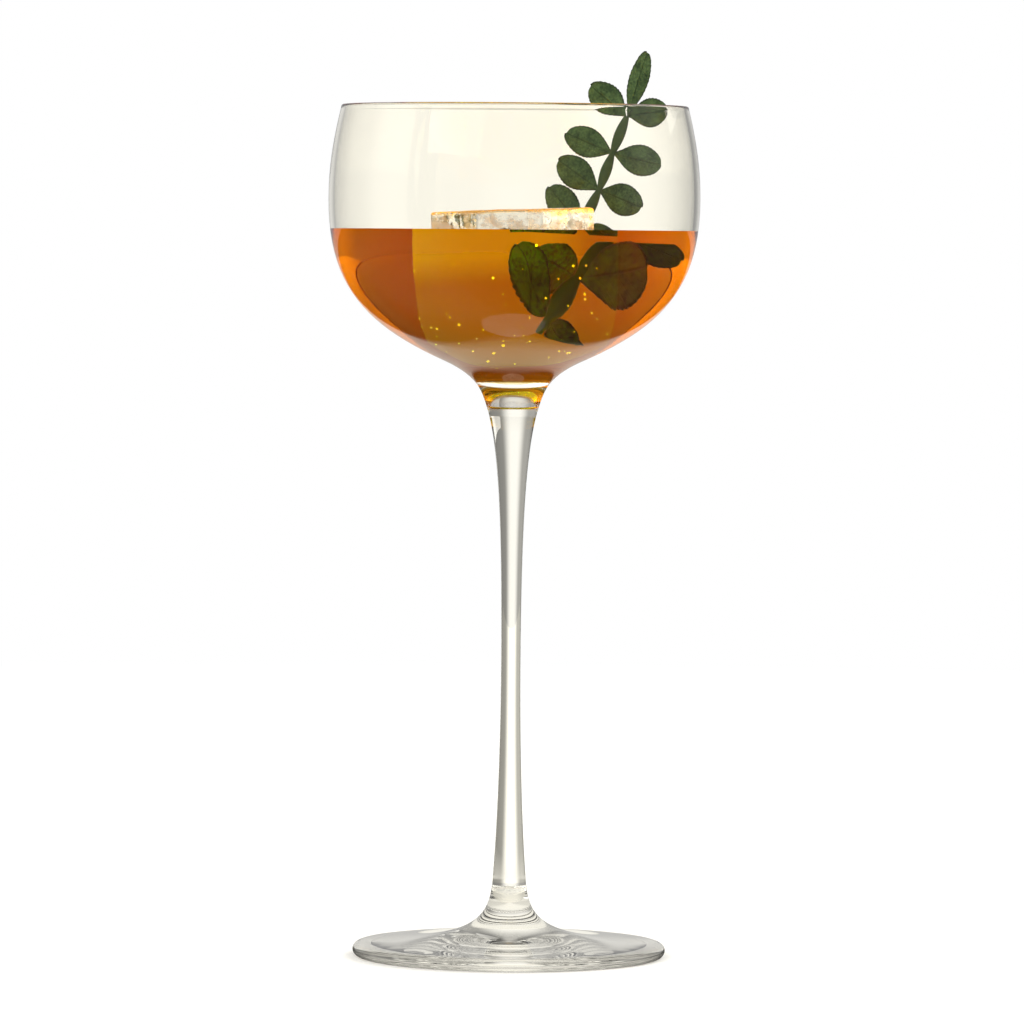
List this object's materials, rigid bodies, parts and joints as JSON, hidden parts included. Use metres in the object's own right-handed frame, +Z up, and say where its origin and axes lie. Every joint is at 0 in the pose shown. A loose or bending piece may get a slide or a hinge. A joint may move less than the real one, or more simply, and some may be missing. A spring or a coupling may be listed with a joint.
{
  "type": "coupe glass",
  "caption": "Long-stemmed coupe glass with a deep rounded bowl, drawn stem and round foot, served with an amber drink, a cube of ice and a leafy sprig.",
  "frame": {"origin": "on the table, under the middle of the foot", "axes": "+Z up along the stem, +X to the right and +Y away from the viewer in the picture's view"},
  "size_m": [0.0902, 0.0902, 0.2204],
  "materials": {
    "clear_glass": "polished",
    "amber_drink": "gloss",
    "clear_ice": "gloss",
    "leaf": "satin",
    "stalk": "satin"
  },
  "bodies": {
    "glass": {"foot": "clear_glass", "stem": "clear_glass", "bowl": "clear_glass", "drink": "amber_drink"},
    "ice": {"ice_cube": "clear_ice"},
    "sprig": {"sprig_stalk": "stalk", "leaflet_end": "leaf", "leaflet_left_1": "leaf", "leaflet_right_1": "leaf", "leaflet_left_2": "leaf", "leaflet_right_2": "leaf", "leaflet_left_3": "leaf", "leaflet_right_3": "leaf", "leaflet_left_4": "leaf", "leaflet_right_4": "leaf", "leaflet_left_5": "leaf", "leaflet_right_5": "leaf", "leaflet_left_6": "leaf", "leaflet_right_6": "leaf"}
  },
  "joints": [
    {"name": "ice_lift", "type": "slide", "parent": "glass", "child": "ice", "axis": [0, 0, 1], "range_m": [0, 0.06], "deforming": ["drink"]},
    {"name": "sprig_lift", "type": "slide", "parent": "glass", "child": "sprig", "axis": [0, 0, 1], "range_m": [0, 0.075], "deforming": ["drink"]}
  ]
}
